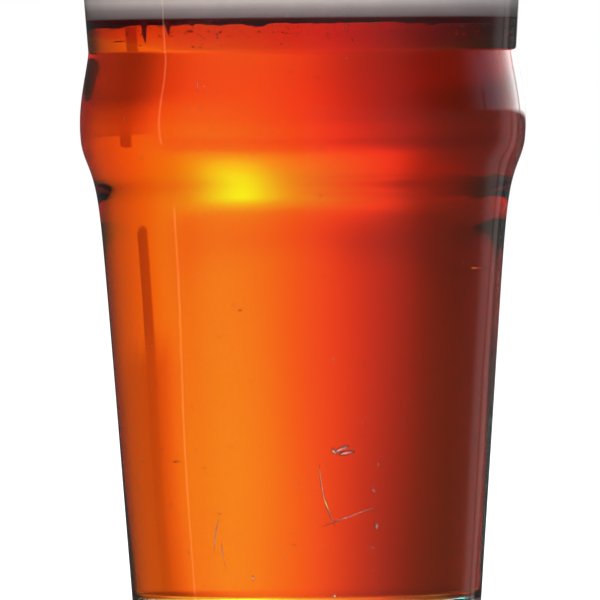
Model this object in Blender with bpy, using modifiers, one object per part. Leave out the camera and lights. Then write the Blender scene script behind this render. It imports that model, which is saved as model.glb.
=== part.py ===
"""A pint of ale: a conical glass with a bulge below its rim, filled with beer under a head of foam.

Metres, +Z up. The origin is the middle of the ring that the glass stands on.
Every piece is turned about the Z axis: its profile is worked out here and swept by a Screw modifier.
"""

import math

import bpy

MM = 0.001
SEGMENTS = 48  # facets round the axis, the same for every piece so that the gaps stay even

# The glass, in millimetres.
GLASS_HEIGHT = 148.0
CONE_RADIUS = 33.5  # where the outer cone would meet the table
CONE_SLOPE = 0.0715  # radius gained for each millimetre of height
BULGE_CREST = 99.5  # height at which the bulge stands furthest out of the cone
BULGE_DEPTH = 2.85
BULGE_REACH_UP = 16.3  # from the crest to the neck, where the bulge ends
BULGE_UPPER_POWER = 1.2
BULGE_HALF_DOWN = 7.05  # below the crest, where the bulge is down to half its depth
BULGE_LOWER_POWER = 2.75
WALL = 2.8
RIM_WALL = 2.2
WALL_THINS_FROM = 116.0  # the wall tapers from here up to the rim
FLOOR_HEIGHT = 9.0
FLOOR_CORNER = 2.0  # radius between the floor and the inner wall
HEEL_CORNER = 3.0  # radius between the outer wall and the foot
FOOT_INNER_RADIUS = 26.5  # inside this the underside is hollowed
HOLLOW_DEPTH = 2.5

# What the glass holds, in millimetres.
GAP = 0.3  # clearance between touching solids
BEER_LEVEL = 121.9
HEAD_EDGE = 139.3  # height of the foam at the wall
HEAD_DOME = 1.4  # rise of the foam from its edge to its middle
HEAD_ROLL = 2.5  # radius of the foam's rolled edge
HEAD_SWELL = 0.35  # how far the foam's top strays from an even dome

# How finely the curves are divided.
ARC_STEPS = 5
RIM_STEPS = 6  # even, so that the rim's highest point is one of them
ROLL_STEPS = 3
DOME_RINGS = 6
BULGE_STEP = 2.6  # millimetres of height between rings over the bulge
CONE_STEP = 16.0  # and on the straight walls
SHORTEST_STEP = 0.5
MERGE = 0.00001  # metres


def outer_radius(z):
    """The outer cone, plus a bulge that falls off as a cosine above its crest and as a bell curve below it."""
    cone = CONE_RADIUS + CONE_SLOPE * z
    if z > BULGE_CREST:
        share = min((z - BULGE_CREST) / BULGE_REACH_UP, 1.0)
        bulge = max(math.cos(math.pi / 2 * share), 0.0) ** BULGE_UPPER_POWER
    else:
        share = (BULGE_CREST - z) / BULGE_HALF_DOWN
        bulge = 1.0 / (1.0 + share**BULGE_LOWER_POWER)
    return cone + BULGE_DEPTH * bulge


def wall_thickness(z):
    """Even up to a height near the neck, then thinner in proportion up to the rim."""
    share = max(z - WALL_THINS_FROM, 0.0) / (GLASS_HEIGHT - WALL_THINS_FROM)
    return WALL + (RIM_WALL - WALL) * share


def inner_radius(z):
    """Radius of the inside of the wall at a height."""
    return outer_radius(z) - wall_thickness(z)


def heights(low, high):
    """Heights from low to high, in millimetres: far apart on the cone, close together over the bulge."""
    bulge_low = BULGE_CREST - 3 * BULGE_HALF_DOWN
    bulge_high = BULGE_CREST + BULGE_REACH_UP
    found = [low]
    while found[-1] < high:
        z = found[-1]
        step = BULGE_STEP if bulge_low <= z < bulge_high else CONE_STEP
        ahead = bulge_low if z < bulge_low else high
        found.append(min(z + step, max(ahead, z + SHORTEST_STEP), high))
    return found


def arc(centre, radius, start_deg, end_deg, steps=ARC_STEPS):
    """Points (r, z) along a circle, from one angle to another, both ends included."""
    angles = [math.radians(start_deg + (end_deg - start_deg) * i / steps) for i in range(steps + 1)]
    return [(centre[0] + radius * math.cos(a), centre[1] + radius * math.sin(a)) for a in angles]


def cavity_profile(clearance, top):
    """The inside of the glass from the middle of its floor up to a height, drawn in by a clearance."""
    floor = FLOOR_HEIGHT + clearance
    corner_top = floor + FLOOR_CORNER
    corner_centre = (inner_radius(corner_top) - clearance - FLOOR_CORNER, corner_top)
    corner = arc(corner_centre, FLOOR_CORNER, -90, 0)
    wall = [(inner_radius(z) - clearance, z) for z in heights(corner_top, top)[1:]]
    return [(0.0, floor), *corner, *wall]


def glass_profile():
    """Up the inside, over the rounded rim, down the outside and under the foot to the axis."""
    lip = RIM_WALL / 2
    lip_height = GLASS_HEIGHT - lip
    lip_centre = (outer_radius(lip_height) - lip, lip_height)
    inside = cavity_profile(0.0, lip_height - SHORTEST_STEP)
    rim = arc(lip_centre, lip, 180, 0, RIM_STEPS)
    outside = [(outer_radius(z), z) for z in reversed(heights(HEEL_CORNER, lip_height)[:-1])]
    heel_centre = (outer_radius(HEEL_CORNER) - HEEL_CORNER, HEEL_CORNER)
    heel = arc(heel_centre, HEEL_CORNER, 0, -90)[1:]
    hollow_radius = (FOOT_INNER_RADIUS**2 + HOLLOW_DEPTH**2) / (2 * HOLLOW_DEPTH)
    hollow_centre = (0.0, HOLLOW_DEPTH - hollow_radius)
    hollow_angle = math.degrees(math.acos(FOOT_INNER_RADIUS / hollow_radius))
    hollow = arc(hollow_centre, hollow_radius, hollow_angle, 90)
    hollow[0] = (FOOT_INNER_RADIUS, 0.0)
    hollow[-1] = (0.0, HOLLOW_DEPTH)
    return [*inside, *rim, *outside, *heel, *hollow]


def beer_profile():
    """Down from the middle of the surface, along the wall and back to the axis across the floor."""
    filled = cavity_profile(GAP, BEER_LEVEL - GAP / 2)
    return [(0.0, BEER_LEVEL - GAP / 2), *reversed(filled)]


def head_profile():
    """From the middle of the domed top, over the rolled edge, down the wall and back across the underside."""
    low = BEER_LEVEL + GAP / 2
    roll_height = HEAD_EDGE - HEAD_ROLL
    roll_centre_radius = inner_radius(roll_height) - GAP - HEAD_ROLL
    shares = [i / DOME_RINGS for i in range(DOME_RINGS)]
    dome = [(roll_centre_radius * s, HEAD_EDGE + HEAD_DOME * math.cos(math.pi / 2 * s)) for s in shares]
    roll = arc((roll_centre_radius, roll_height), HEAD_ROLL, 90, 0, ROLL_STEPS)
    wall = [(inner_radius(z) - GAP, z) for z in reversed(heights(low, roll_height)[:-1])]
    return [*dome, *roll, *wall, (0.0, low)]


def turned(name, profile, collection):
    """A profile of (r, z) points in millimetres, swept round the Z axis into a closed skin."""
    mesh = bpy.data.meshes.new(name)
    points = [(r * MM, 0.0, z * MM) for r, z in profile]
    mesh.from_pydata(points, [(i, i + 1) for i in range(len(points) - 1)], [])
    piece = bpy.data.objects.new(name, mesh)
    collection.objects.link(piece)
    sweep = piece.modifiers.new("Turn", "SCREW")
    sweep.steps = sweep.render_steps = SEGMENTS
    sweep.use_merge_vertices = True
    sweep.merge_threshold = MERGE
    sweep.use_smooth_shade = True
    return piece


def swell_top(piece):
    """Gives the foam's top a slow, uneven swell that fades out towards its edge and its sides."""
    bpy.context.view_layer.update()
    graph = bpy.context.evaluated_depsgraph_get()
    uneven = bpy.data.meshes.new_from_object(piece.evaluated_get(graph))
    piece.modifiers.clear()
    piece.data = uneven
    edge = HEAD_EDGE * MM
    for vertex in uneven.vertices:
        if vertex.co.z < edge - MERGE:
            continue
        x = vertex.co.x / MM
        y = vertex.co.y / MM
        fade = 1.0 - (math.hypot(x, y) / inner_radius(HEAD_EDGE)) ** 2
        wave = math.sin(0.13 * x + 0.8) * math.cos(0.11 * y - 0.4) + 0.5 * math.sin(0.21 * (x + y))
        vertex.co.z += HEAD_SWELL * MM * fade * wave


def material(name, colour, roughness, transmission=0.0, ior=1.45):
    """A plain shader with a linear colour."""
    made = bpy.data.materials.new(name)
    made.use_nodes = True
    shader = made.node_tree.nodes["Principled BSDF"]
    shader.inputs["Base Color"].default_value = (*colour, 1.0)
    shader.inputs["Roughness"].default_value = roughness
    shader.inputs["Metallic"].default_value = 0.0
    shader.inputs["Transmission Weight"].default_value = transmission
    shader.inputs["IOR"].default_value = ior
    return made


def make_glass(collection):
    glass = turned("glass", glass_profile(), collection)
    glass.data.materials.append(material("clear soda-lime glass", (0.95, 0.98, 0.97), 0.03, 1.0, 1.52))


def make_beer(collection):
    beer = turned("beer", beer_profile(), collection)
    beer.data.materials.append(material("amber ale", (0.78, 0.16, 0.02), 0.02, 1.0, 1.34))


def make_head(collection):
    head = turned("head", head_profile(), collection)
    swell_top(head)
    head.data.materials.append(material("beer foam", (0.86, 0.78, 0.66), 0.6))


def clear_scene():
    for old in list(bpy.data.objects):
        bpy.data.objects.remove(old, do_unlink=True)


def main():
    clear_scene()
    collection = bpy.data.collections.new("pint_of_ale")
    bpy.context.scene.collection.children.link(collection)
    make_glass(collection)
    make_beer(collection)
    make_head(collection)


main()
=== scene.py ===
"""A pint of amber ale: the fine surfaces, materials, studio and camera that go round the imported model.
Lengths are in metres unless a name or comment says otherwise."""

import math

import bpy
import numpy as np
from mathutils import Matrix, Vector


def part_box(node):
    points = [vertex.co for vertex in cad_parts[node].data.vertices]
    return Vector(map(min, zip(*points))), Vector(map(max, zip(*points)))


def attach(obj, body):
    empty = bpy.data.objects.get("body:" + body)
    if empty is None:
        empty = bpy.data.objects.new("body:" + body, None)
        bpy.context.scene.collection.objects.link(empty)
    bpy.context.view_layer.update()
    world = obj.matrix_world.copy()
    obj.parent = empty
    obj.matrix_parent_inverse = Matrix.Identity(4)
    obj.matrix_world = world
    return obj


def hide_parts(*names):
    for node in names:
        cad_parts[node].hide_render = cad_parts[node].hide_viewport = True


bl_info = {
    "name": "Pint of ale",
    "version": (1, 0, 0),
    "blender": (4, 5, 0),
    "location": "3D view > Sidebar > Pint",
    "description": "Makes a pint glass of amber ale under a head of foam, and a studio to show it in",
    "category": "Object",
}

MM = 0.001
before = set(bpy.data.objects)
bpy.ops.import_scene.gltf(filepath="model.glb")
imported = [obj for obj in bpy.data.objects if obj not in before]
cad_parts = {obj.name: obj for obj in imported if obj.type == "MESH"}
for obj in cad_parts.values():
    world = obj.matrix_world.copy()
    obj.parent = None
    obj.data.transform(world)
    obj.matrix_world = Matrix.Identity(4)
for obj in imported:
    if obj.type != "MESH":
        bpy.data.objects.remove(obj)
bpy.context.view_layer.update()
RIM_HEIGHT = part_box("glass")[1][2]
BEER_LEVEL = (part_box("beer")[1][2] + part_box("head")[0][2]) / 2
HEAD_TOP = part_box("head")[1][2]
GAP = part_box("head")[0][2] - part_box("beer")[1][2]
FLOOR_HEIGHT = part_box("beer")[0][2] - GAP

# The glass's outline, in metres.
CONE_RADIUS = 33.5 * MM
CONE_SLOPE = 0.0715
BULGE_CREST = 99.5 * MM
BULGE_DEPTH = 2.85 * MM
BULGE_REACH_UP = 16.3 * MM
BULGE_UPPER_POWER = 1.2
BULGE_HALF_DOWN = 7.05 * MM
BULGE_LOWER_POWER = 2.75
WALL_THINS_FROM = 116.0 * MM
FLOOR_CORNER = 2.0 * MM
HEEL_CORNER = 3.0 * MM
FOOT_INNER_RADIUS = 26.5 * MM
HOLLOW_DEPTH = 2.5 * MM
REACH = 0.12 * MM  # how far what fills the glass reaches into its wall


def outer_radius(z):
    """Outer radius at height z: a cone, plus a bulge whose depth is a power of a cosine from its crest up,
    and 1 / (1 + distance ** power) from its crest down to the neck."""
    up = np.clip((z - BULGE_CREST) / BULGE_REACH_UP, 0.0, 1.0)
    down = np.maximum(BULGE_CREST - z, 0.0) / BULGE_HALF_DOWN
    above = np.maximum(np.cos(np.pi / 2 * up), 0.0) ** BULGE_UPPER_POWER
    below = 1.0 / (1.0 + down**BULGE_LOWER_POWER)
    return CONE_RADIUS + CONE_SLOPE * z + BULGE_DEPTH * np.where(z > BULGE_CREST, above, below)


def inner_radius(z, settings):
    """Inner radius at height z: the outer radius less the wall, which thins evenly towards the rim."""
    share = np.clip((z - WALL_THINS_FROM) / (RIM_HEIGHT - WALL_THINS_FROM), 0.0, 1.0)
    return outer_radius(z) - settings.wall - (settings.rim_wall - settings.wall) * share


def rise(value, low, high):
    """From 0 at low to 1 at high, level at both ends: 3 s ** 2 - 2 s ** 3."""
    share = np.clip((value - low) / (high - low), 0.0, 1.0)
    return share * share * (3 - 2 * share)


def bell(value, middle, width):
    """A bell curve 1 high."""
    return np.exp(-0.5 * ((value - middle) / width) ** 2)


def heights(low, high):
    """Heights from low to high, both included: close together over the bulge and far apart on the cone."""
    fine_low = BULGE_CREST - 3 * BULGE_HALF_DOWN
    fine_high = BULGE_CREST + BULGE_REACH_UP + 1.0 * MM
    edges = np.clip([low, fine_low, fine_high, high], low, high)
    steps = [3.0 * MM, 0.5 * MM, 3.0 * MM]
    runs = [
        np.linspace(start, end, int(np.ceil((end - start) / step)), endpoint=False)
        for start, end, step in zip(edges[:-1], edges[1:], steps)
        if end > start
    ]
    return np.concatenate([*runs, [high]])


def arc(centre, radius, start, end, count):
    """Points (r, z) along a circle between two angles in degrees: centre + radius * (cos, sin)."""
    angle = np.radians(np.linspace(start, end, count))
    return np.column_stack([centre[0] + radius * np.cos(angle), centre[1] + radius * np.sin(angle)])


def column(radius, z):
    """Pairs radii with heights as an (n, 2) profile of r and z."""
    return np.column_stack([np.broadcast_to(radius, np.shape(z)), z])


def cavity_profile(settings, clearance, top):
    """The inside of the glass from its floor up: a flat disc, a round corner, then the wall.
    A positive clearance draws it in, a negative one lets it reach into the glass."""
    floor = FLOOR_HEIGHT + clearance
    corner_top = floor + FLOOR_CORNER
    corner_centre = (inner_radius(corner_top, settings) - clearance - FLOOR_CORNER, corner_top)
    disc = np.linspace(0.0, corner_centre[0], 8, endpoint=False)
    wall = heights(corner_top, top)[1:]
    return np.vstack([
        column(disc, np.full(disc.shape, floor)),
        arc(corner_centre, FLOOR_CORNER, -90, 0, 10),
        column(inner_radius(wall, settings) - clearance, wall),
    ])


def glass_profile(settings):
    """Up the inside, over a half-round rim, down the outside, round the heel and under the hollow foot."""
    lip = settings.rim_wall / 2
    lip_height = RIM_HEIGHT - lip
    lip_centre = (outer_radius(lip_height) - lip, lip_height)
    outside = heights(HEEL_CORNER, lip_height)[::-1][1:-1]
    heel_centre = (outer_radius(HEEL_CORNER) - HEEL_CORNER, HEEL_CORNER)
    hollow_radius = (FOOT_INNER_RADIUS**2 + HOLLOW_DEPTH**2) / (2 * HOLLOW_DEPTH)
    hollow_angle = math.degrees(math.acos(FOOT_INNER_RADIUS / hollow_radius))
    return np.vstack([
        cavity_profile(settings, 0.0, lip_height)[:-1],
        arc(lip_centre, lip, 180, 0, 15),
        column(outer_radius(outside), outside),
        arc(heel_centre, HEEL_CORNER, 0, -90, 10),
        arc((0.0, HOLLOW_DEPTH - hollow_radius), hollow_radius, hollow_angle, 90, 12),
    ])


def pole_to_pole_faces(rings, around):
    """Quads over a grid of rings that closes round on itself, and a fan of triangles from each end ring to
    its pole. The two poles come after the grid's points, the first ring's pole first."""
    number = np.arange(rings * around).reshape(rings, around)
    after = np.roll(number, -1, axis=1)
    quads = np.stack([number[:-1], number[1:], after[1:], after[:-1]], axis=-1).reshape(-1, 4)
    first = np.full(around, rings * around)
    fans = np.vstack([
        np.column_stack([first, number[0], after[0]]),
        np.column_stack([first + 1, after[-1], number[-1]]),
    ])
    return [quads, fans]


def mesh_from(name, points, face_blocks):
    """A smooth mesh from an (n, 3) array of points and blocks of faces, each an (m, corners) array."""
    mesh = bpy.data.meshes.new(name)
    mesh.vertices.add(len(points))
    mesh.vertices.foreach_set("co", np.asarray(points, dtype=np.float32).ravel())
    corners = np.concatenate([block.ravel() for block in face_blocks])
    sizes = np.concatenate([np.full(len(block), block.shape[1]) for block in face_blocks])
    mesh.loops.add(len(corners))
    mesh.loops.foreach_set("vertex_index", corners.astype(np.int32))
    mesh.polygons.add(len(sizes))
    mesh.polygons.foreach_set("loop_start", (np.cumsum(sizes) - sizes).astype(np.int32))
    mesh.update(calc_edges=True)
    mesh.validate()
    mesh.shade_smooth()
    return mesh


def turned_mesh(name, radius, height, segments):
    """A closed skin round the Z axis: point (i, j) is (r cos t, r sin t, z), where t goes once round with j.
    The first and last rings lie on the axis and become single points. Radius and height are arrays of
    (rings, 1) or (rings, segments)."""
    angle = np.arange(segments) * 2 * np.pi / segments
    radius, height = (np.broadcast_to(values, (len(radius), segments)) for values in (radius, height))
    grid = np.stack([radius * np.cos(angle), radius * np.sin(angle), height], axis=-1)
    poles = [[0.0, 0.0, height[0].mean()], [0.0, 0.0, height[-1].mean()]]
    points = np.vstack([grid[1:-1].reshape(-1, 3), poles])
    return mesh_from(name, points, pole_to_pole_faces(len(radius) - 2, segments))


def many_in_one(name, points, faces):
    """One mesh of many like shapes: points is (shapes, points, 3), and faces are those of one shape."""
    shift = (np.arange(len(points)) * points.shape[1])[:, None, None]
    blocks = [(block[None] + shift).reshape(-1, block.shape[1]) for block in faces]
    return mesh_from(name, points.reshape(-1, 3), blocks)


def small_balls(name, centres, radii, around=6, rings=3):
    """Many little balls: each is centre + radius * (sin a cos b, sin a sin b, cos a) over a grid of a from
    pole to pole and b once round."""
    a = np.linspace(0.0, np.pi, rings + 2)[1:-1, None]
    b = np.arange(around) * 2 * np.pi / around
    grid = np.stack([np.sin(a) * np.cos(b), np.sin(a) * np.sin(b), np.cos(a) + 0 * b], axis=-1)
    ball = np.vstack([grid.reshape(-1, 3), [0.0, 0.0, 1.0], [0.0, 0.0, -1.0]])
    points = centres[:, None] + ball * radii[:, None, None]
    return many_in_one(name, points, pole_to_pole_faces(rings, around))


def water_marks(name, marks):
    """Drops and runs on the outside of the glass. Each is an ellipse on the wall, bent along its length,
    whose thickness is bulge * (1 - rho ** 2) ** 0.7 from its middle to its edge, which lies just inside the
    glass. A mark is (angle from the front, height, half width, half length, tilt, bend, bulge), in degrees
    and millimetres."""
    turn, height, half_width, half_length, tilt, bend, bulge = np.array(marks).T[:, :, None]
    seat = 0.02
    around = 16
    rings = [0.35, 0.65, 0.87, 1.0]
    rho = np.repeat(rings, around)
    phi = np.tile(np.arange(around) * 2 * np.pi / around, len(rings))
    rho = np.concatenate([rho, [0.0, 0.0]])
    phi = np.concatenate([phi, [0.0, 0.0]])
    thick = bulge * (1 - rho**2) ** 0.7 - seat
    thick[:, -1] = -3 * seat
    u = half_width * rho * np.cos(phi)
    v = half_length * rho * np.sin(phi)
    slant = np.radians(tilt)
    along = u * np.cos(slant) - v * np.sin(slant) + bend * (v / half_length) ** 2
    up = u * np.sin(slant) + v * np.cos(slant)
    z = (height + up) * MM
    angle = np.radians(turn - 90) + along * MM / outer_radius(z)
    radius = outer_radius(z) + thick * MM
    points = np.stack([radius * np.cos(angle), radius * np.sin(angle), z], axis=-1)
    return many_in_one(name, points, pole_to_pole_faces(len(rings), around))


def add_piece(name, mesh, material):
    """Puts a finished mesh in the scene at the origin, riding on the only body."""
    piece = bpy.data.objects.new(name, mesh)
    bpy.context.scene.collection.objects.link(piece)
    mesh.materials.append(material)
    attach(piece, "root")
    return piece


def linear(hex_colour):
    """An sRGB colour such as "c08040" as the linear numbers that the shader reads."""
    channels = [int(hex_colour[i : i + 2], 16) / 255 for i in (0, 2, 4)]
    return (*[c / 12.92 if c <= 0.04045 else ((c + 0.055) / 1.055) ** 2.4 for c in channels], 1.0)


def add_node(tree, kind, settings=None, inputs=None):
    """Adds a node, sets its properties, and gives each named or numbered input a value or a link."""
    made = tree.nodes.new(kind)
    for name, value in (settings or {}).items():
        setattr(made, name, value)
    for name, value in (inputs or {}).items():
        if isinstance(value, bpy.types.NodeSocket):
            tree.links.new(value, made.inputs[name])
        else:
            made.inputs[name].default_value = value
    return made


def new_material(name):
    """An empty node material and its output node."""
    made = bpy.data.materials.new(name)
    made.use_nodes = True
    made.node_tree.nodes.clear()
    return made, add_node(made.node_tree, "ShaderNodeOutputMaterial")


def soda_lime_glass(name, mirrored="ffffff"):
    """Pressed soda-lime glass, fire-polished: clear, with hard-edged reflections and faint scuffs."""
    made, output = new_material(name)
    tree = made.node_tree
    place = add_node(tree, "ShaderNodeTexCoord").outputs["Object"]
    # Washing leaves scuffs about 2.5 mm long round the glass and 0.4 mm high.
    stretched = add_node(tree, "ShaderNodeMapping", inputs={"Vector": place, "Scale": (1.0, 1.0, 6.0)})
    scuffs = add_node(
        tree, "ShaderNodeTexNoise", inputs={"Vector": stretched.outputs[0], "Scale": 400.0, "Detail": 3.0}
    )
    bump = add_node(
        tree, "ShaderNodeBump", inputs={"Height": scuffs.outputs[0], "Strength": 0.03, "Distance": 0.02 * MM}
    )
    shader = add_node(
        tree,
        "ShaderNodeBsdfPrincipled",
        inputs={
            "Base Color": linear("fbfdfc"),
            "Roughness": 0.0,
            "IOR": 1.5,
            "Transmission Weight": 1.0,
            "Specular Tint": linear(mirrored),
            "Normal": bump.outputs[0],
        },
    )
    tree.links.new(shader.outputs[0], output.inputs["Surface"])
    return made


def amber_ale(settings):
    """Filtered amber ale: a clear liquid whose depth takes out blue and green, so that thin ale is orange
    and deep ale red."""
    made, output = new_material("amber ale, filtered")
    tree = made.node_tree
    shader = add_node(
        tree,
        "ShaderNodeBsdfPrincipled",
        inputs={
            "Base Color": (1, 1, 1, 1),
            "Roughness": 0.0,
            "IOR": 1.34,
            "Transmission Weight": 1.0,
            # Against glass a liquid mirrors almost nothing.
            "Specular Tint": linear("000000"),
        },
    )
    depth = add_node(
        tree,
        "ShaderNodeVolumeAbsorption",
        inputs={"Color": (*settings.passes, 1.0), "Density": settings.density},
    )
    tree.links.new(shader.outputs[0], output.inputs["Surface"])
    tree.links.new(depth.outputs[0], output.inputs["Volume"])
    return made


def beer_foam():
    """Fine beer foam: matt cream bubbles high up. Lower down it turns grey, then dark red where it hangs
    into the ale. This is partly the real colour of foam wet with ale and partly painted shade:
    the shade and ale-red light under the head, painted into its colour."""
    made, output = new_material("beer foam, with painted shade low down")
    tree = made.node_tree
    place = add_node(tree, "ShaderNodeTexCoord").outputs["Object"]
    height = add_node(tree, "ShaderNodeSeparateXYZ", inputs={0: place}).outputs["Z"]
    # The foam's colour by height over the ale, in millimetres. The grey and dark red below about 3.5 mm are
    # partly wet foam and partly painted shade under the head.
    tones_with_painted_shade = (
        (-2.0, "7a1416"),
        (-0.15, "6e1013"),
        (-0.02, "640c0c"),
        (0.15, "640c0c"),
        (0.45, "786561"),
        (2.0, "998a83"),
        (3.5, "cdbdb3"),
        (8.0, "e3d7c6"),
        (18.0, "efe6d6"),
    )
    low, high = tones_with_painted_shade[0][0], tones_with_painted_shade[-1][0]
    height_for_painted_shade = add_node(
        tree,
        "ShaderNodeMapRange",
        inputs={"Value": height, "From Min": BEER_LEVEL + low * MM, "From Max": BEER_LEVEL + high * MM},
    )
    tone_with_painted_shade = add_node(tree, "ShaderNodeValToRGB", inputs={"Fac": height_for_painted_shade.outputs[0]})
    stops = tone_with_painted_shade.color_ramp.elements
    stops[0].color, stops[1].color = linear(tones_with_painted_shade[0][1]), linear(tones_with_painted_shade[-1][1])
    for at, colour in tones_with_painted_shade[1:-1]:
        stops.new((at - low) / (high - low)).color = linear(colour)
    # Most bubbles in the foam are about 0.3 mm across. Patches a few millimetres across have drained more.
    cells = add_node(tree, "ShaderNodeTexVoronoi", inputs={"Vector": place, "Scale": 3300.0})
    patches = add_node(tree, "ShaderNodeTexNoise", inputs={"Vector": place, "Scale": 180.0, "Detail": 4.0})
    veil = add_node(
        tree, "ShaderNodeMapRange", inputs={"Value": patches.outputs["Fac"], "To Min": 0.9, "To Max": 1.08}
    )
    uneven = add_node(
        tree, "ShaderNodeVectorMath", {"operation": "SCALE"}, {0: tone_with_painted_shade.outputs[0], "Scale": veil.outputs[0]}
    )
    bump = add_node(
        tree,
        "ShaderNodeBump",
        {"invert": True},
        {"Height": cells.outputs["Distance"], "Strength": 0.35, "Distance": 0.1 * MM},
    )
    shader = add_node(
        tree,
        "ShaderNodeBsdfPrincipled",
        inputs={
            "Base Color": uneven.outputs[0],
            "Roughness": 0.7,
            "Specular IOR Level": 0.0,
            "Normal": bump.outputs[0],
        },
    )
    tree.links.new(shader.outputs[0], output.inputs["Surface"])
    return made


def darker_ale_under_foam():
    """A layer that makes the ale under the foam darker and redder: it shows no surface, and only takes
    light, mostly green.
    """
    made, output = new_material("ale, darker under the foam")
    tree = made.node_tree
    shader = add_node(
        tree, "ShaderNodeBsdfPrincipled", inputs={"Base Color": linear("7a2a18"), "Alpha": 0.0}
    )
    darkening = add_node(
        tree, "ShaderNodeVolumeAbsorption", inputs={"Color": (0.86, 0.3, 0.3, 1.0), "Density": 34.0}
    )
    tree.links.new(shader.outputs[0], output.inputs["Surface"])
    tree.links.new(darkening.outputs[0], output.inputs["Volume"])
    return made


def clear_liquid(name, tint):
    """A skin of clear liquid, such as a drop of water or a bubble's film: bright edges, a clear middle."""
    made, output = new_material(name)
    shader = add_node(
        made.node_tree,
        "ShaderNodeBsdfPrincipled",
        inputs={"Base Color": linear(tint), "Roughness": 0.02, "IOR": 1.33, "Transmission Weight": 1.0},
    )
    made.node_tree.links.new(shader.outputs[0], output.inputs["Surface"])
    return made


def glowing(name):
    """A light-giving surface for the stage, coloured by the mesh attribute "glow"."""
    made, output = new_material(name)
    tree = made.node_tree
    pattern = add_node(tree, "ShaderNodeAttribute", {"attribute_name": "glow"})
    glow = add_node(tree, "ShaderNodeEmission", inputs={"Color": pattern.outputs["Color"]})
    tree.links.new(glow.outputs[0], output.inputs["Surface"])
    made.cycles.emission_sampling = "NONE"
    return made


class GlassSettings(bpy.types.PropertyGroup):
    wall: bpy.props.FloatProperty(
        name="Wall", description="Thickness of the wall below the neck", default=2.8 * MM, unit="LENGTH"
    )
    rim_wall: bpy.props.FloatProperty(
        name="Rim wall", description="Thickness of the wall at the rim", default=2.2 * MM, unit="LENGTH"
    )
    waviness: bpy.props.FloatProperty(
        name="Waviness",
        description="Height of the waves in the pressed wall",
        default=0.015 * MM,
        unit="LENGTH",
    )
    segments: bpy.props.IntProperty(name="Segments", description="Faces round the glass", default=256)


class BeerSettings(bpy.types.PropertyGroup):
    passes: bpy.props.FloatVectorProperty(
        name="Passes",
        description="Colour that the ale lets through",
        default=(0.977, 0.646, 0.0),
        subtype="COLOR",
        min=0.0,
        max=1.0,
    )
    density: bpy.props.FloatProperty(
        name="Density", description="How strongly the ale absorbs, per metre", default=130.0
    )
    # The haze is a layer that makes the ale under the foam darker and redder.
    haze: bpy.props.FloatProperty(
        name="Haze", description="How deep the haze under the foam is", default=7.5 * MM, unit="LENGTH"
    )
    clinging: bpy.props.IntProperty(
        name="Clinging bubbles", description="Gas bubbles that cling to the inside of the glass", default=220
    )
    froth: bpy.props.IntProperty(
        name="Froth", description="Tiny bubbles that gather under the foam", default=450
    )


class HeadSettings(bpy.types.PropertyGroup):
    edge: bpy.props.FloatProperty(
        name="Edge", description="Height of the foam at the wall", default=139.3 * MM, unit="LENGTH"
    )
    roll: bpy.props.FloatProperty(
        name="Roll", description="Radius of the foam's rolled edge", default=2.5 * MM, unit="LENGTH"
    )
    relief: bpy.props.FloatProperty(
        name="Relief",
        description="Height of the unevenness of the foam's top",
        default=0.35 * MM,
        unit="LENGTH",
    )
    hang: bpy.props.FloatProperty(
        name="Hang",
        description="How far the foam hangs down the wall into the ale",
        default=0.1 * MM,
        unit="LENGTH",
    )
    bubbles: bpy.props.IntProperty(
        name="Bubbles", description="Large bubbles that stand out of the foam's top", default=900
    )


class StudioSettings(bpy.types.PropertyGroup):
    distance: bpy.props.FloatProperty(
        name="Distance", description="From the glass to the camera", default=1.9, unit="LENGTH"
    )
    lens: bpy.props.FloatProperty(
        name="Lens", description="Focal length in millimetres", default=583.5, unit="CAMERA"
    )
    below_beer: bpy.props.FloatProperty(
        name="Below beer",
        description="How far the camera is below the beer's level",
        default=6.5 * MM,
        unit="LENGTH",
    )
    aim_height: bpy.props.FloatProperty(
        name="Aim height", description="Height of the middle of the view", default=67.1 * MM, unit="LENGTH"
    )
    aim_side: bpy.props.FloatProperty(
        name="Aim side",
        description="Middle of the view, to the side of the axis",
        default=-0.82 * MM,
        unit="LENGTH",
    )
    roll: bpy.props.FloatProperty(
        name="Roll",
        description="Turn of the camera about its view",
        default=math.radians(-0.505),
        subtype="ANGLE",
    )


SETTINGS = {
    "pint_glass": GlassSettings,
    "pint_beer": BeerSettings,
    "pint_head": HeadSettings,
    "pint_studio": StudioSettings,
}


class MakeGlass(bpy.types.Operator):
    """Turns the glass: a cone with a bulge, a rounded rim and a thick, hollowed foot"""

    bl_idname = "pint.make_glass"
    bl_label = "Glass"

    def execute(self, context):
        settings = context.scene.pint_glass
        profile = glass_profile(settings)
        radius, height = profile[:, :1], profile[:, 1:]
        angle = np.arange(settings.segments) * 2 * np.pi / settings.segments
        # The mould leaves slow waves in the outside: three sines of the angle and the height.
        z = height / MM
        waves = np.sin(5 * angle + 0.07 * z) + np.sin(11 * angle - 0.11 * z + 1)
        waves = waves + np.sin(17 * angle + 0.05 * z + 2)
        outside = radius > (inner_radius(height, settings) + outer_radius(height)) / 2
        fade = rise(height, HEEL_CORNER, HEEL_CORNER + 8 * MM) * rise(RIM_HEIGHT - height, 3 * MM, 12 * MM)
        wavy = radius + settings.waviness * waves * outside * fade
        mesh = turned_mesh("glass_body", wavy, height, settings.segments)
        piece = add_piece("glass_body", mesh, soda_lime_glass("soda-lime glass, pressed and fire-polished"))
        # Where ale or foam wets the inside, the two are so alike that nothing is mirrored there.
        mesh.materials.append(soda_lime_glass("soda-lime glass, wetted inside", "000000"))
        centres = np.empty(len(mesh.polygons) * 3, dtype=np.float32)
        mesh.polygons.foreach_get("center", centres)
        across, z = np.hypot(centres[0::3], centres[1::3]), centres[2::3]
        middle = (inner_radius(z, settings) + outer_radius(z)) / 2
        wetted = (across < middle) & (z > FLOOR_HEIGHT - 0.1 * MM) & (z < context.scene.pint_head.edge)
        mesh.polygons.foreach_set("material_index", wetted.astype(np.int32))
        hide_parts("glass")
        return {"FINISHED"}


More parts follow.
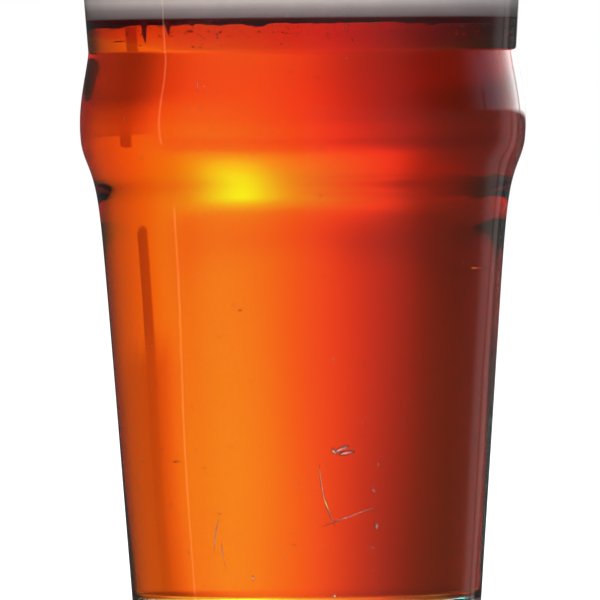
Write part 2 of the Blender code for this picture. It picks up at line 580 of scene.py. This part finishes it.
class MakeBeer(bpy.types.Operator):
    """Fills the glass with ale, which reaches just into the wall and up into the foam"""

    bl_idname = "pint.make_beer"
    bl_label = "Beer"

    def execute(self, context):
        scene = context.scene
        into_foam = 0.4 * MM
        edge = 0.01 * MM
        side = cavity_profile(scene.pint_glass, -REACH, BEER_LEVEL + into_foam)[::-1]
        surface = np.linspace(0.0, side[0, 0] - edge, 12)
        # A ring close below the upper edge and one close inside it keep the shading of the wall straight.
        surface_height = np.full(surface.shape, side[0, 1])
        profile = np.vstack([column(surface, surface_height), side[:1], side[:1], side[1:]])
        profile[len(surface) + 1, 1] -= edge
        mesh = turned_mesh("ale", profile[:, :1], profile[:, 1:], scene.pint_glass.segments)
        piece = add_piece("ale", mesh, amber_ale(scene.pint_beer))
        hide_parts("beer")
        return {"FINISHED"}


class MakeHead(bpy.types.Operator):
    """Lays the head of foam on the ale, with an uneven top and a ragged lower edge along the wall"""

    bl_idname = "pint.make_head"
    bl_label = "Head of foam"

    def execute(self, context):
        scene = context.scene
        settings = scene.pint_head
        segments = 720
        random = np.random.default_rng(11)
        angle = np.arange(segments) * 2 * np.pi / segments
        roll_height = settings.edge - settings.roll
        roll_radius = inner_radius(roll_height, scene.pint_glass) + REACH - settings.roll
        dome = HEAD_TOP - settings.relief - settings.edge
        top = np.linspace(0.0, 1.0, 46, endpoint=False)
        wall = np.linspace(roll_height, BEER_LEVEL, 10)[1:]
        wall_radius = inner_radius(wall, scene.pint_glass) + REACH * 0.8
        upper = np.vstack([
            column(roll_radius * top, settings.edge + dome * np.cos(np.pi / 2 * top)),
            arc((roll_radius, roll_height), settings.roll, 90, 0, 7),
            column(wall_radius, wall),
        ])
        # The hanging edge takes the foam's painted dark red shade. It is partly foam clinging to the wall
        # and partly a dark skirt standing in for the shade under the head.
        # The hanging edge: a slow wave round the glass and drips, each a bell of the angle. A drip has an
        # angle from the +X axis and a width in degrees, and a length in millimetres.
        named = np.array([[221.3, 0.5, 4.6], [230.3, 0.35, 3.3], [238.3, 1.3, 1.0], [243.4, 0.9, 0.8]])
        random_drips = np.column_stack([
            random.uniform(0.0, 200.0, 26), random.uniform(0.3, 1.2, 26), random.exponential(0.3, 26)
        ])
        place, width, length = np.vstack([named, random_drips]).T[:, :, None]
        apart = (np.degrees(angle) - place + 180) % 360 - 180
        wave = 0.15 * np.sin(3 * angle + 1.0) + 0.1 * np.sin(7 * angle - 2.0) + 0.06 * np.sin(41 * angle)
        hang = settings.hang * (1.0 + wave) + (length * bell(apart, 0.0, width)).sum(axis=0) * MM
        share = np.array([0.25, 0.5, 0.75, 0.9, 1.0])[:, None]
        edge_height = BEER_LEVEL - hang * share
        edge_radius = inner_radius(edge_height, scene.pint_glass) + REACH * 0.8 - 0.5 * MM * share**3
        under = np.linspace(1.0, 0.0, 6)[:, None] * (wall_radius[-1] - 1.2 * MM) + 0 * angle
        radius = np.vstack([upper[:, :1] + 0 * angle, edge_radius, under])
        height = np.vstack([upper[:, 1:] + 0 * angle, edge_height, BEER_LEVEL + 0 * under])
        height = height + foam_relief(radius * np.cos(angle), radius * np.sin(angle), random) * (
            settings.relief * np.clip((height - roll_height) / settings.roll, 0.0, 1.0)
        )
        piece = add_piece("foam", turned_mesh("foam", radius, height, segments), beer_foam())
        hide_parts("head")
        return {"FINISHED"}


def foam_relief(x, y, random):
    """Unevenness of the foam's top, from about -1.4 to 0.6: a slow swell of sines, less the soft pits that
    burst bubbles leave, each a bell round its own centre."""
    swell = 0.35 * np.sin(0.13 * x / MM + 0.8) * np.cos(0.11 * y / MM - 0.4)
    swell = swell + 0.2 * np.sin(0.21 * (x + y) / MM)
    pits = np.zeros_like(x)
    for middle_x, middle_y, width in random.uniform((-40, -40, 0.5), (40, 40, 1.6), (160, 3)) * MM:
        pits += 0.5 * bell(np.hypot(x - middle_x, y - middle_y), 0.0, width)
    return swell - np.minimum(pits, 0.9)


def on_inner_wall(random, z, radii, settings):
    """Centres of balls that touch the inside of the wall at given heights, anywhere round the glass."""
    angle = random.uniform(0, 2 * np.pi, z.shape)
    away = inner_radius(z, settings) - radii
    return np.column_stack([away * np.cos(angle), away * np.sin(angle), z])


class MakeHaze(bpy.types.Operator):
    """Hangs a layer under the foam, in a bowl, that makes the ale there darker and redder: its depth falls
    from the middle to the wall as (1 - (radius / reach) ** 2) ** 1.6"""

    bl_idname = "pint.make_haze"
    bl_label = "Haze under the foam"

    def execute(self, context):
        scene = context.scene
        top = BEER_LEVEL - 0.3 * MM
        reach = inner_radius(top, scene.pint_glass) - 0.2 * MM
        out = np.linspace(1.0, 0.0, 24)[:, None]
        flat = np.linspace(0.0, 1.0, 6)[:, None]
        bowl = top - 0.2 * MM - scene.pint_beer.haze * (1.0 - out**2) ** 1.6
        mesh = turned_mesh("haze", reach * np.vstack([flat, out]), np.vstack([top + 0 * flat, bowl]), 96)
        piece = add_piece("haze", mesh, darker_ale_under_foam())
        return {"FINISHED"}


class AddGasBubbles(bpy.types.Operator):
    """Adds the gas in the ale: bubbles that cling to the wall, and two thin streams from the floor"""

    bl_idname = "pint.add_gas_bubbles"
    bl_label = "Gas bubbles"

    def execute(self, context):
        scene = context.scene
        random = np.random.default_rng(5)
        count = scene.pint_beer.clinging
        radii = random.uniform(0.07, 0.24, count) * MM
        z = random.uniform(FLOOR_HEIGHT + 3 * MM, BEER_LEVEL - 3 * MM, count)
        clinging = on_inner_wall(random, z, radii, scene.pint_glass)
        # Bubbles in a stream grow and speed up as they rise, so their heights go as the square of time.
        streams = []
        stream_radii = []
        for x, y, beads in ((-17.0, -24.0, 26), (9.0, 12.0, 30)):
            share = (np.arange(beads) + 0.5) / beads
            height = FLOOR_HEIGHT + 0.5 * MM + (BEER_LEVEL - FLOOR_HEIGHT - 3 * MM) * share**2
            sway = random.normal(0.0, 0.35, (2, beads)) * share
            streams.append(np.column_stack([(x + sway[0]) * MM, (y + sway[1]) * MM, height]))
            stream_radii.append((0.06 + 0.12 * share) * MM)
        centres = np.vstack([clinging, *streams])
        mesh = small_balls("gas_bubbles", centres, np.concatenate([radii, *stream_radii]), 10, 5)
        piece = add_piece("gas_bubbles", mesh, clear_liquid("carbonation bubble, gas in ale", "fff2e0"))
        return {"FINISHED"}


class AddFroth(bpy.types.Operator):
    """Adds the froth under the foam: tiny bubbles, thinning out downwards as an exponential"""

    bl_idname = "pint.add_froth"
    bl_label = "Froth under the foam"

    def execute(self, context):
        scene = context.scene
        random = np.random.default_rng(8)
        count = scene.pint_beer.froth
        radii = random.uniform(0.07, 0.17, count) * MM
        depth = np.minimum(random.exponential(0.9, count), 6.0) * MM
        z = BEER_LEVEL - 0.8 * MM - depth
        gap = random.uniform(0.0, 0.6, count) * MM
        centres = on_inner_wall(random, z, radii + gap, scene.pint_glass)
        mesh = small_balls("froth", centres, radii)
        piece = add_piece("froth", mesh, clear_liquid("froth bubble, gas in ale", "c8a890"))
        return {"FINISHED"}


class AddFoamBubbles(bpy.types.Operator):
    """Adds the large bubbles on top of the foam, crowded towards the wall and half sunk"""

    bl_idname = "pint.add_foam_bubbles"
    bl_label = "Bubbles on the foam"

    def execute(self, context):
        scene = context.scene
        settings = scene.pint_head
        random = np.random.default_rng(3)
        count = settings.bubbles
        radii = (0.2 + random.exponential(0.22, count)).clip(0.2, 1.3) * MM
        reach = inner_radius(settings.edge, scene.pint_glass) - settings.roll
        out = np.sqrt(random.uniform(0.0, 1.0, count)) ** 0.7
        angle = random.uniform(0, 2 * np.pi, count)
        dome = HEAD_TOP - settings.relief - settings.edge
        z = settings.edge + dome * np.cos(np.pi / 2 * out) - 0.35 * radii
        radius = reach * out
        centres = np.column_stack([radius * np.cos(angle), radius * np.sin(angle), z])
        mesh = small_balls("foam_bubbles", centres, radii, 10, 5)
        piece = add_piece("foam_bubbles", mesh, clear_liquid("foam bubble, film of beer", "fbf3e4"))
        return {"FINISHED"}


class AddWaterMarks(bpy.types.Operator):
    """Adds the few drops and dried runs of water on the outside of the glass"""

    bl_idname = "pint.add_water_marks"
    bl_label = "Water on the glass"

    def execute(self, context):
        # Angle from the front, height, half width, half length, tilt, bend and bulge, in degrees and
        # millimetres: drops at the lower right and front left, dried runs beside them, and specks above.
        marks = (
            (8.6, 38.9, 0.35, 0.8, 35, 0.1, 0.16),
            (10.6, 39.3, 0.4, 1.5, -65, 0.3, 0.2),
            (12.6, 38.6, 0.5, 1.6, -80, 0.0, 0.05),
            (22.5, 24.3, 0.4, 0.7, 10, 0.1, 0.2),
            (22.6, 36.3, 0.25, 0.35, 0, 0.0, 0.15),
            (21.3, 31.2, 0.3, 0.45, 15, 0.0, 0.15),
            (21.5, 20.2, 0.12, 0.7, 70, 0.0, 0.08),
            (5.4, 30.4, 0.14, 6.4, 14, 0.8, 0.012),
            (14.0, 26.4, 0.12, 5.6, -72, 0.4, 0.012),
            (9.0, 11.0, 0.3, 0.3, 0, 0.0, 0.15),
            (-28.0, 109.4, 0.09, 1.1, 3, 0.0, 0.08),
            (-26.0, 109.2, 0.15, 0.15, 0, 0.0, 0.1),
            (-22.4, 108.3, 0.15, 0.15, 0, 0.0, 0.1),
            (-27.0, 104.9, 0.13, 0.2, 0, 0.0, 0.1),
            (-30.6, 104.9, 0.15, 0.15, 0, 0.0, 0.1),
            (-35.0, 97.0, 0.13, 0.15, 0, 0.0, 0.1),
            (-13.0, 96.0, 0.12, 0.14, 0, 0.0, 0.1),
            (11.5, 114.3, 0.12, 0.14, 0, 0.0, 0.1),
            (-30.0, 22.5, 0.12, 3.6, -12, 0.3, 0.02),
            (-27.5, 19.0, 0.1, 2.6, 8, 0.2, 0.02),
            (-17.5, 14.5, 0.18, 0.6, 0, 0.0, 0.12),
        )
        mesh = water_marks("water_marks", marks)
        piece = add_piece("water_marks", mesh, clear_liquid("water, in drops", "ffffff"))
        return {"FINISHED"}


def evening_sky(azimuth, elevation):
    """Brightness of the sky behind the drink: dusk that is brightest a little to the right, a band of haze,
    and a low sun whose light falls off as 1 / (1 + distance ** 2 / 55) ** 2.4."""
    flank = np.where(azimuth < 9.7, 7.5, 9.6)
    dusk = 4.0 * bell(azimuth, 9.7, flank) + 0.22 * bell(azimuth, 9.7, 25.0) + 0.04
    open_sky = 0.95 * rise(azimuth, 17.0, 25.0) * np.exp(-np.maximum(azimuth - 33.0, 0.0) / 34.0)
    band = rise(elevation, 3.0, 8.0) * (1.0 - rise(elevation, 11.0, 15.0))
    band = band * (1.0 - 0.35 * bell(elevation, 10.0, 0.8))
    haze = (2.4 * bell(azimuth, -1.0, 6.0) + 0.5 * bell(azimuth, 18.0, 4.0)) * band
    # The sun is drawn out upright by 2 degrees each way, and falls off faster below than above.
    past = np.maximum(np.abs(elevation - 11.2) - 2.0, 0.0) * np.where(elevation > 11.2, 1.5, 2.2)
    sun = 23.0 / (1.0 + np.hypot(azimuth - 8.5, past) ** 2 / 55.0) ** 2.4
    cloud = 0.22 * rise(elevation, 2.4, 3.2) * rise(-elevation, -6.2, -5.0) * rise(-azimuth, -24.0, -16.0)
    return (dusk + open_sky + haze + sun) * (1.0 - cloud)


def left_by_the_ground(azimuth, elevation):
    """Share of the sky's light that is left where something stands before it: ground that is dimmer
    downwards and to the right, a low wall whose top slopes up to the right, and one post behind the wall."""
    ground = (1.0 - 0.2 * rise(-elevation, -1.2, 0.6)) * (
        1.0 - (0.1 + 0.45 * rise(azimuth, -5.0, 24.0)) * rise(-elevation, 0.5, 5.0)
    )
    wall = rise(2.5 + 0.055 * (azimuth - 27.5) - elevation, -0.15, 0.15)
    past_wall = 1.0 - wall * (0.27 + 0.23 * bell(azimuth, 30.0, 5.0)) * rise(azimuth, 19.0, 25.0)
    post = rise(azimuth, 28.3, 28.9) * rise(-azimuth, -33.1, -32.5)
    post = post * rise(5.7 - 0.2 * np.abs(azimuth - 30.7) - elevation, 0.0, 0.3) * (0.6 - 0.5 * wall)
    return ground * past_wall * (1.0 - post * rise(elevation, 0.0, 1.0))


def room_light(azimuth, elevation):
    """Colour of the light from the room: brightest low in front on the left, where it is also warmer, with
    a dark doorway there, and an even light from overhead."""
    lamp = bell((azimuth + 340.0) % 360.0 - 180.0, 0.0, 42.0)
    room = (1.0 + 3.0 * bell(elevation, -6.0, 14.0)) * (0.37 + 0.85 * lamp)
    room = room * (1.0 - 0.8 * bell(azimuth, -144.0, 11.0) * bell(elevation, 0.0, 10.0))
    overhead = rise(elevation, 22.0, 45.0)
    room = room * (1.0 - overhead) + 2.4 * overhead * (0.7 + 0.4 * lamp)
    tint = np.array([0.84, 1.0, 1.26]) + np.array([0.14, -0.03, -0.22]) * lamp[..., None]
    return room[..., None] * tint


def glow_behind(azimuth, elevation):
    """Colour seen through the drink, by direction in degrees: azimuth from straight behind towards the
    right, elevation from level. The evening sky is behind, the room at the sides, in front and above, and a
    table of warm wood below. Red is held to 1.2, so that the brightest parts go from orange to yellow."""
    behind = evening_sky(azimuth, elevation) * left_by_the_ground(azimuth, elevation) + 0.02
    warm = bell(azimuth, -12.0, 5.0) + rise(elevation, 5.0, 11.0) * rise(-azimuth, 14.0, 22.0)
    red = behind * (1.0 + 0.7 * np.minimum(warm, 1.0))
    red = red / (1.0 + (red / 1.2) ** 4) ** 0.25 + 0.006 * behind
    left = rise(-azimuth, 16.0, 40.0)[..., None] * np.array([0.64, 0.2, 0.6])
    right = rise(azimuth, 44.0, 62.0)[..., None] * np.array([0.65, 0.4, 0.6])
    behind = np.stack([red, behind, behind], axis=-1) * (1.0 - left - right)
    away = np.maximum(rise(np.abs(azimuth), 70.0, 120.0), rise(elevation, 22.0, 45.0))[..., None]
    light = behind * (1.0 - away) + room_light(azimuth, elevation) * away
    table = (rise(-elevation, 17.0, 22.0) * rise(-np.abs(azimuth), -60.0, -45.0))[..., None]
    wood = np.array([0.8, 0.3, 0.05]) * (0.25 + bell(azimuth, 6.0, 20.0))[..., None]
    return light * (1.0 - table) + wood * table


def gloss_around(azimuth, elevation):
    """Colour mirrored by the glass, by direction in degrees: on the right a sky over a sloping skyline,
    white nearest the back and violet further round, with two bare trunks in front of it; a dim ground; and
    a soft light in front and above."""
    skyline = 0.067 * azimuth
    over = rise(elevation - skyline, -0.5, 0.5)
    sky = 2.5 * np.exp(-np.maximum(azimuth - 33.0, 0.0) / 15.0) + 0.1
    sky = sky * rise(azimuth, 3.0, 12.0) * rise(-azimuth, -92.0, -70.0) * over
    trunks = 0.8 * bell(azimuth, 70.0, 0.8) * rise(-elevation, -12.0, -9.0)
    trunks = trunks + 0.6 * bell(azimuth, 27.0, 1.0)
    ground = 0.26 * rise(azimuth, 31.0, 36.0) * rise(-azimuth, -60.0, -50.0)
    ground = ground + 0.07 * rise(azimuth, 50.0, 60.0)
    ground = ground * (1.0 - 0.7 * bell(azimuth, 42.5, 1.0)) * (1.0 - over)
    front = 0.2 * rise(np.abs(azimuth), 100.0, 140.0)
    above = 1.2 * rise(elevation, 35.0, 55.0)
    violet = rise(azimuth, 46.0, 66.0)[..., None] * over[..., None]
    colour = 1.0 + violet * (np.array([0.62, 0.95, 1.3]) - 1.0)
    return (sky * (1.0 - trunks) + ground)[..., None] * colour + (front + above + 0.05)[..., None]


def light_tent(name, pattern):
    """A ball of radius 8 m round the glass whose skin shines by direction: points on a grid of azimuth and
    elevation, finer near level, each with the colour that the pattern gives there."""
    radius = 8.0
    azimuth = np.radians(np.linspace(-180.0, 180.0, 721))
    below = np.linspace(-90.0, -16.0, 24, endpoint=False)
    near_level = np.linspace(-16.0, 24.0, 161)
    above = np.linspace(24.0, 90.0, 24)[1:]
    elevation = np.radians(np.concatenate([below, near_level, above]))[:, None]
    azimuth, elevation = np.broadcast_arrays(azimuth, elevation)
    points = np.stack(
        [
            radius * np.cos(elevation) * np.sin(azimuth),
            radius * np.cos(elevation) * np.cos(azimuth),
            radius * np.sin(elevation),
        ],
        axis=-1,
    )
    number = np.arange(azimuth.size).reshape(azimuth.shape)
    quads = np.stack([number[:-1, :-1], number[:-1, 1:], number[1:, 1:], number[1:, :-1]], axis=-1)
    mesh = mesh_from(name, points.reshape(-1, 3), [quads.reshape(-1, 4)])
    colour_points(mesh, pattern(np.degrees(azimuth), np.degrees(elevation)))
    return stage_object(name, mesh, glowing(name))


def colour_points(mesh, colours):
    """Keeps a colour for each point in the attribute "glow"."""
    colours = colours.reshape(-1, 3)
    with_alpha = np.column_stack([colours, np.ones(len(colours))]).astype(np.float32)
    mesh.attributes.new("glow", "FLOAT_COLOR", "POINT")
    mesh.attributes["glow"].data.foreach_set("color", with_alpha.ravel())


def strip_lamp():
    """A slim upright tube of warm light to the left, which the glass mirrors as one thin line: a sheet on a
    circle round the glass, with a lower and an upper point at each azimuth."""
    distance, low, high = 3.0, -0.62, 1.6
    azimuth = np.radians(np.linspace(-101.7, -100.4, 7))
    ring = [distance * np.sin(azimuth), distance * np.cos(azimuth)]
    points = np.stack([np.stack([*ring, height + 0 * azimuth], axis=-1) for height in (low, high)])
    number = np.arange(2 * len(azimuth)).reshape(2, len(azimuth))
    quads = np.stack([number[0, :-1], number[1, :-1], number[1, 1:], number[0, 1:]], axis=-1)
    mesh = mesh_from("strip_lamp", points.reshape(-1, 3), [quads])
    colour_points(mesh, np.array([2.2, 1.5, 0.7]) * np.ones((2 * len(azimuth), 1)))
    return stage_object("strip_lamp", mesh, glowing("strip_lamp"))


def stage_object(name, mesh, material):
    """Adds something that is not part of the drink."""
    made = bpy.data.objects.new(name, mesh)
    bpy.context.scene.collection.objects.link(made)
    mesh.materials.append(material)
    return made


def show_only_to(made, kinds):
    """Hides a stage object from every kind of ray but those named."""
    for kind in ("camera", "diffuse", "glossy", "transmission", "volume_scatter", "shadow"):
        setattr(made, f"visible_{kind}", kind in kinds)


def studio_floor():
    """A pale floor of matt acrylic, faintly lit from within like a light table, so it reads as white."""
    half = 5.0
    corners = np.array([[-half, -half, 0], [half, -half, 0], [half, half, 0], [-half, half, 0]])
    made, output = new_material("matt acrylic floor, lit from within")
    shader = add_node(
        made.node_tree,
        "ShaderNodeBsdfPrincipled",
        inputs={
            "Base Color": linear("f0f0f0"),
            "Roughness": 0.9,
            "Specular IOR Level": 0.0,
            "Emission Color": (1, 1, 1, 1),
            "Emission Strength": 0.2,
        },
    )
    made.node_tree.links.new(shader.outputs[0], output.inputs["Surface"])
    made.cycles.emission_sampling = "NONE"
    return stage_object("floor", mesh_from("floor", corners, [np.array([[0, 1, 2, 3]])]), made)


def white_world():
    """An even white light from everywhere."""
    world = bpy.data.worlds.new("studio")
    bpy.context.scene.world = world
    world.use_nodes = True
    tree = world.node_tree
    tree.nodes.clear()
    background = add_node(tree, "ShaderNodeBackground", inputs={"Color": (1, 1, 1, 1), "Strength": 1.0})
    add_node(tree, "ShaderNodeOutputWorld", inputs={"Surface": background.outputs[0]})


def soft_lamp(name, size, power, place):
    """A square soft light that points at the origin."""
    data = bpy.data.lights.new(name, "AREA")
    data.size = size
    data.energy = power
    lamp = bpy.data.objects.new(name, data)
    bpy.context.scene.collection.objects.link(lamp)
    x, y, z = place
    lamp.location = place
    lamp.rotation_euler = (math.atan2(math.hypot(x, y), z), 0.0, math.atan2(y, x) + math.pi / 2)
    show_only_to(lamp, {"diffuse"})


class SetStage(bpy.types.Operator):
    """Sets the floor, the lights and the camera"""

    bl_idname = "pint.set_stage"
    bl_label = "Studio"

    def execute(self, context):
        settings = context.scene.pint_studio
        white_world()
        show_only_to(studio_floor(), {"camera", "diffuse", "shadow"})
        show_only_to(light_tent("tent_behind", glow_behind), {"transmission"})
        show_only_to(light_tent("tent_gloss", gloss_around), {"glossy"})
        show_only_to(strip_lamp(), {"glossy"})
        soft_lamp("overhead", size=1.2, power=14.0, place=(0.2, -0.2, 1.6))
        data = bpy.data.cameras.new("camera")
        data.lens = settings.lens
        data.clip_end = 50.0
        camera = bpy.data.objects.new("camera", data)
        context.scene.collection.objects.link(camera)
        context.scene.camera = camera
        height = BEER_LEVEL - settings.below_beer
        camera.location = (settings.aim_side, -settings.distance, height)
        pitch = math.atan2(settings.aim_height - height, settings.distance)
        turn = Matrix.Rotation(math.pi / 2 + pitch, 4, "X") @ Matrix.Rotation(settings.roll, 4, "Z")
        camera.rotation_euler = turn.to_euler("XYZ")
        context.scene.view_settings.view_transform = "Standard"
        return {"FINISHED"}


OPERATORS = (
    MakeGlass,
    MakeBeer,
    MakeHead,
    MakeHaze,
    AddGasBubbles,
    AddFroth,
    AddFoamBubbles,
    AddWaterMarks,
    SetStage,
)


class PintPanel(bpy.types.Panel):
    """Lists the pieces of the pint and their sizes"""

    bl_idname = "VIEW3D_PT_pint"
    bl_label = "Pint of ale"
    bl_space_type = "VIEW_3D"
    bl_region_type = "UI"
    bl_category = "Pint"

    def draw(self, context):
        for operator in OPERATORS:
            self.layout.operator(operator.bl_idname)
        for name, group in SETTINGS.items():
            box = self.layout.box()
            for field in group.__annotations__:
                box.prop(getattr(context.scene, name), field)


CLASSES = (*SETTINGS.values(), *OPERATORS, PintPanel)


def register():
    for made in CLASSES:
        bpy.utils.register_class(made)
    for name, group in SETTINGS.items():
        setattr(bpy.types.Scene, name, bpy.props.PointerProperty(type=group))


def unregister():
    for name in SETTINGS:
        delattr(bpy.types.Scene, name)
    for made in reversed(CLASSES):
        bpy.utils.unregister_class(made)


def main():
    register()
    bpy.ops.pint.make_glass()
    bpy.ops.pint.make_beer()
    bpy.ops.pint.make_head()
    bpy.ops.pint.make_haze()
    bpy.ops.pint.add_gas_bubbles()
    bpy.ops.pint.add_froth()
    bpy.ops.pint.add_foam_bubbles()
    bpy.ops.pint.add_water_marks()
    bpy.ops.pint.set_stage()


if __name__ == "__main__":
    main()
